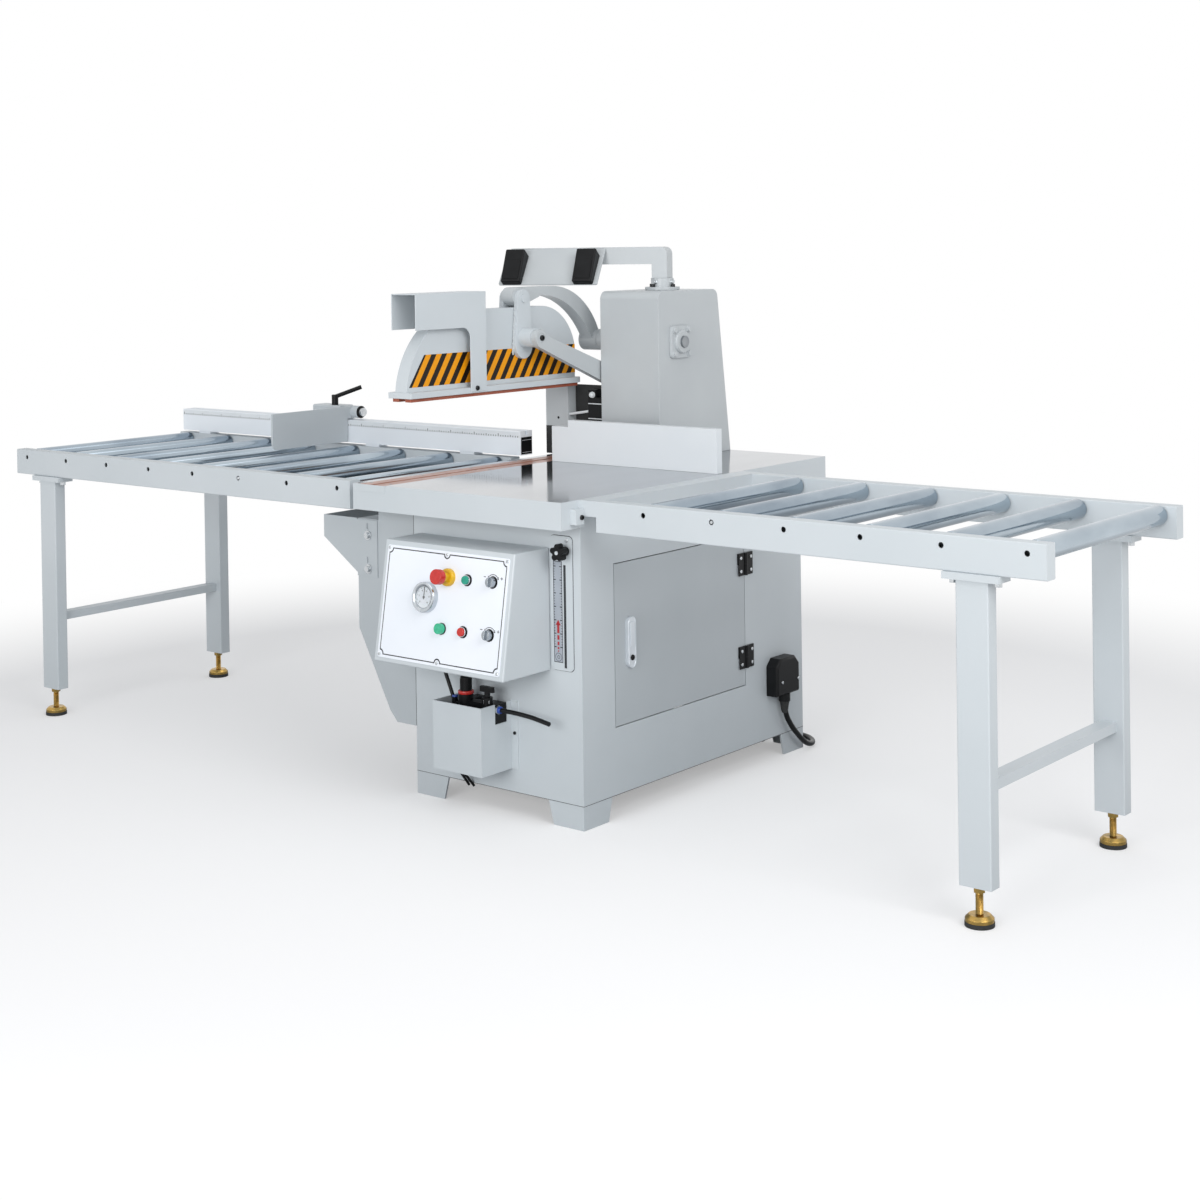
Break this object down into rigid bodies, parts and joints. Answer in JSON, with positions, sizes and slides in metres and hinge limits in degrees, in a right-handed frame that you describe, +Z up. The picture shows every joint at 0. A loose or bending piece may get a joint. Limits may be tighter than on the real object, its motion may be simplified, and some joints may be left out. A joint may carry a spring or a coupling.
{
  "type": "pneumatic cut-off saw",
  "caption": "Rising-blade cut-off saw for bars and boards: machine table on a cabinet, swinging clamp hood on a column, roller infeed and outfeed tables, fences and a flip stop.",
  "frame": {"origin": "middle of the whole length and depth, on the floor under the feet", "axes": "+X along the roller tables from infeed to outfeed, +Y away from the operator, +Z up"},
  "size_m": [3.666, 1.3568, 1.5003],
  "materials": {
    "frame_paint": "smooth satin paint",
    "column_paint": "smooth satin paint",
    "hood_paint": "smooth satin paint",
    "fence_paint": "smooth satin paint",
    "panel_white": "smooth matte paint",
    "table_steel": "ground and polished",
    "roller_zinc": "bright zinc plate",
    "gold_zinc": "yellow zinc plate",
    "bolt_steel": "zinc plate",
    "tool_steel": "ground steel",
    "fence_aluminium": "anodised",
    "cylinder_aluminium": "anodised",
    "wear_board": "sealed board",
    "black_plastic": "fine texture",
    "press_plate_plastic": "smooth",
    "red_plastic": "polished",
    "green_plastic": "polished",
    "motor_paint": "satin paint",
    "belt_rubber": "matte",
    "hose_rubber": "semi-gloss"
  },
  "bodies": {
    "stand": {"left_roller_frame": "frame_paint", "right_roller_frame": "frame_paint", "levelling_feet": "gold_zinc", "fasteners": "bolt_steel", "machine_table": "table_steel", "table_insert": "wear_board", "cabinet": "frame_paint", "saw_chamber": "frame_paint", "right_fence": "fence_paint", "left_fence": "fence_aluminium", "column": "column_paint", "air_cylinders": "cylinder_aluminium", "motor": "motor_paint", "front_plates": "panel_white", "air_unit": "frame_paint", "air_hose": "hose_rubber", "power_socket": "black_plastic", "power_lead": "hose_rubber", "lead_coil": "hose_rubber"},
    "left_roller_1": {"left_roller_1": "roller_zinc"},
    "left_roller_2": {"left_roller_2": "roller_zinc"},
    "left_roller_3": {"left_roller_3": "roller_zinc"},
    "left_roller_4": {"left_roller_4": "roller_zinc"},
    "left_roller_5": {"left_roller_5": "roller_zinc"},
    "left_roller_6": {"left_roller_6": "roller_zinc"},
    "left_roller_7": {"left_roller_7": "roller_zinc"},
    "left_roller_8": {"left_roller_8": "roller_zinc"},
    "right_roller_1": {"right_roller_1": "roller_zinc"},
    "right_roller_2": {"right_roller_2": "roller_zinc"},
    "right_roller_3": {"right_roller_3": "roller_zinc"},
    "right_roller_4": {"right_roller_4": "roller_zinc"},
    "right_roller_5": {"right_roller_5": "roller_zinc"},
    "right_roller_6": {"right_roller_6": "roller_zinc"},
    "upper_arm": {"upper_arm": "hood_paint"},
    "lower_arm": {"lower_arm": "hood_paint"},
    "hood": {"hood_shell": "hood_paint", "clamp_pad": "wear_board"},
    "press_rod": {"press_rod": "tool_steel"},
    "saw_arm": {"saw_arm": "frame_paint", "drive_belt": "belt_rubber"},
    "spindle": {"spindle": "tool_steel", "saw_blade": "tool_steel"},
    "motor_rotor": {"motor_pulley": "tool_steel"},
    "saw_rod": {"saw_rod": "tool_steel"},
    "control_arm": {"control_arm": "column_paint"},
    "left_palm_switch": {"left_palm_switch": "press_plate_plastic"},
    "right_palm_switch": {"right_palm_switch": "press_plate_plastic"},
    "emergency_stop": {"emergency_stop": "red_plastic"},
    "start_button": {"start_button": "green_plastic"},
    "stop_button": {"stop_button": "red_plastic"},
    "feed_knob": {"feed_knob": "black_plastic"},
    "return_knob": {"return_knob": "black_plastic"},
    "gauge_needle": {"gauge_needle": "black_plastic"},
    "star_knob": {"star_knob": "black_plastic"},
    "stop_carriage": {"stop_carriage": "fence_aluminium"},
    "stop_plate": {"stop_plate": "fence_aluminium"},
    "clamp_lever": {"clamp_lever": "black_plastic"},
    "regulator_knob": {"regulator_knob": "black_plastic"},
    "air_valve_lever": {"air_valve_lever": "black_plastic"},
    "door": {"door_panel": "frame_paint"}
  },
  "joints": [
    {"name": "left_roller_1_spin", "type": "hinge", "parent": "stand", "child": "left_roller_1", "pos_m": [-1.778, 0, 0.836], "axis": [0, 1, 0], "continuous": true},
    {"name": "left_roller_2_spin", "type": "hinge", "parent": "stand", "child": "left_roller_2", "pos_m": [-1.568, 0, 0.836], "axis": [0, 1, 0], "continuous": true},
    {"name": "left_roller_3_spin", "type": "hinge", "parent": "stand", "child": "left_roller_3", "pos_m": [-1.358, 0, 0.836], "axis": [0, 1, 0], "continuous": true},
    {"name": "left_roller_4_spin", "type": "hinge", "parent": "stand", "child": "left_roller_4", "pos_m": [-1.148, 0, 0.836], "axis": [0, 1, 0], "continuous": true},
    {"name": "left_roller_5_spin", "type": "hinge", "parent": "stand", "child": "left_roller_5", "pos_m": [-0.938, 0, 0.836], "axis": [0, 1, 0], "continuous": true},
    {"name": "left_roller_6_spin", "type": "hinge", "parent": "stand", "child": "left_roller_6", "pos_m": [-0.728, 0, 0.836], "axis": [0, 1, 0], "continuous": true},
    {"name": "left_roller_7_spin", "type": "hinge", "parent": "stand", "child": "left_roller_7", "pos_m": [-0.518, 0, 0.836], "axis": [0, 1, 0], "continuous": true},
    {"name": "left_roller_8_spin", "type": "hinge", "parent": "stand", "child": "left_roller_8", "pos_m": [-0.308, 0, 0.836], "axis": [0, 1, 0], "continuous": true},
    {"name": "right_roller_1_spin", "type": "hinge", "parent": "stand", "child": "right_roller_1", "pos_m": [0.747, 0, 0.836], "axis": [0, 1, 0], "continuous": true},
    {"name": "right_roller_2_spin", "type": "hinge", "parent": "stand", "child": "right_roller_2", "pos_m": [0.955, 0, 0.836], "axis": [0, 1, 0], "continuous": true},
    {"name": "right_roller_3_spin", "type": "hinge", "parent": "stand", "child": "right_roller_3", "pos_m": [1.163, 0, 0.836], "axis": [0, 1, 0], "continuous": true},
    {"name": "right_roller_4_spin", "type": "hinge", "parent": "stand", "child": "right_roller_4", "pos_m": [1.371, 0, 0.836], "axis": [0, 1, 0], "continuous": true},
    {"name": "right_roller_5_spin", "type": "hinge", "parent": "stand", "child": "right_roller_5", "pos_m": [1.579, 0, 0.836], "axis": [0, 1, 0], "continuous": true},
    {"name": "right_roller_6_spin", "type": "hinge", "parent": "stand", "child": "right_roller_6", "pos_m": [1.787, 0, 0.836], "axis": [0, 1, 0], "continuous": true},
    {"name": "press_swing", "type": "hinge", "parent": "stand", "child": "upper_arm", "pos_m": [-0.137, 0.407, 1.213], "axis": [1, 0, 0], "range_deg": [0, 31.8]},
    {"name": "link_swing", "type": "hinge", "parent": "stand", "child": "lower_arm", "pos_m": [-0.042, 0.405, 1.097], "axis": [1, 0, 0], "range_deg": [0, 31.8]},
    {"name": "hood_level", "type": "hinge", "parent": "upper_arm", "child": "hood", "pos_m": [-0.137, 0.037, 1.353], "axis": [1, 0, 0], "range_deg": [-31.8, 0]},
    {"name": "press_rod_travel", "type": "slide", "parent": "stand", "child": "press_rod", "axis": [0, 0, 1], "range_m": [0, 0.05128]},
    {"name": "saw_swing", "type": "hinge", "parent": "stand", "child": "saw_arm", "pos_m": [0.028, 0.33, 0.68], "axis": [-1, 0, 0], "range_deg": [0, 19.74]},
    {"name": "saw_rod_travel", "type": "slide", "parent": "stand", "child": "saw_rod", "axis": [0, 0, 1], "range_m": [0, 0.08004]},
    {"name": "blade_spin", "type": "hinge", "parent": "saw_arm", "child": "spindle", "pos_m": [-0.137, -0.08378, 0.608], "axis": [1, 0, 0], "continuous": true},
    {"name": "motor_spin", "type": "hinge", "parent": "stand", "child": "motor_rotor", "pos_m": [0.146, 0.33, 0.68], "axis": [1, 0, 0], "continuous": true},
    {"name": "console_swivel", "type": "hinge", "parent": "stand", "child": "control_arm", "pos_m": [0.095, 0.462, 1.4], "axis": [0, 0, 1], "range_deg": [-75, 4]},
    {"name": "left_palm_press", "type": "slide", "parent": "control_arm", "child": "left_palm_switch", "axis": [-0.258, 0.8711, -0.4178], "range_m": [0, 0.004], "stiffness_N_per_m": 600, "springref_m": -0.004},
    {"name": "right_palm_press", "type": "slide", "parent": "control_arm", "child": "right_palm_switch", "axis": [-0.258, 0.8711, -0.4178], "range_m": [0, 0.004], "stiffness_N_per_m": 600, "springref_m": -0.004},
    {"name": "door_swing", "type": "hinge", "parent": "stand", "child": "door", "pos_m": [0.5265, 0.268, 0.456], "axis": [0, 0, 1], "range_deg": [0, 110]},
    {"name": "emergency_press", "type": "slide", "parent": "stand", "child": "emergency_stop", "axis": [0, 0.9861, -0.1664], "range_m": [0, 0.005], "stiffness_N_per_m": 500, "springref_m": -0.004},
    {"name": "start_press", "type": "slide", "parent": "stand", "child": "start_button", "axis": [0, 0.9861, -0.1664], "range_m": [0, 0.004], "stiffness_N_per_m": 300, "springref_m": -0.003},
    {"name": "stop_press", "type": "slide", "parent": "stand", "child": "stop_button", "axis": [0, 0.9861, -0.1664], "range_m": [0, 0.004], "stiffness_N_per_m": 300, "springref_m": -0.003},
    {"name": "feed_turn", "type": "hinge", "parent": "stand", "child": "feed_knob", "pos_m": [0.352, -0.6179, 0.64756], "axis": [0, -0.9861, 0.1664], "range_deg": [-135, 135]},
    {"name": "return_turn", "type": "hinge", "parent": "stand", "child": "return_knob", "pos_m": [0.357, -0.6402, 0.51543], "axis": [0, -0.9861, 0.1664], "range_deg": [-135, 135]},
    {"name": "gauge_turn", "type": "hinge", "parent": "stand", "child": "gauge_needle", "pos_m": [0.126, -0.62805, 0.58741], "axis": [0, -0.9861, 0.1664], "range_deg": [-120, 120]},
    {"name": "star_turn", "type": "hinge", "parent": "stand", "child": "star_knob", "pos_m": [0.475, -0.47, 0.72], "axis": [0, 1, 0], "range_deg": [-180, 180]},
    {"name": "stop_travel", "type": "slide", "parent": "stand", "child": "stop_carriage", "axis": [1, 0, 0], "range_m": [-0.67, 0.69]},
    {"name": "stop_flip", "type": "hinge", "parent": "stop_carriage", "child": "stop_plate", "pos_m": [-0.966, 0.1655, 0.96805], "axis": [-1, 0, 0], "range_deg": [0, 100]},
    {"name": "lever_turn", "type": "hinge", "parent": "stop_carriage", "child": "clamp_lever", "pos_m": [-1.0375, 0.15, 1], "axis": [0, 0, 1], "range_deg": [-60, 60]},
    {"name": "regulator_turn", "type": "hinge", "parent": "stand", "child": "regulator_knob", "pos_m": [0.167, -0.528, 0.33], "axis": [0, 0, 1], "range_deg": [-170, 170]},
    {"name": "air_valve_turn", "type": "hinge", "parent": "stand", "child": "air_valve_lever", "pos_m": [0.243, -0.528, 0.33], "axis": [0, 0, 1], "range_deg": [0, 90]}
  ],
  "couplings": [
    {"joint": "link_swing", "follows": "press_swing", "ratio": 1},
    {"joint": "hood_level", "follows": "press_swing", "ratio": -1},
    {"joint": "press_rod_travel", "follows": "press_swing", "m_per_rad": 0.092375},
    {"joint": "saw_rod_travel", "follows": "saw_swing", "m_per_rad": 0.23228},
    {"joint": "motor_spin", "follows": "blade_spin", "ratio": 0.6875}
  ]
}
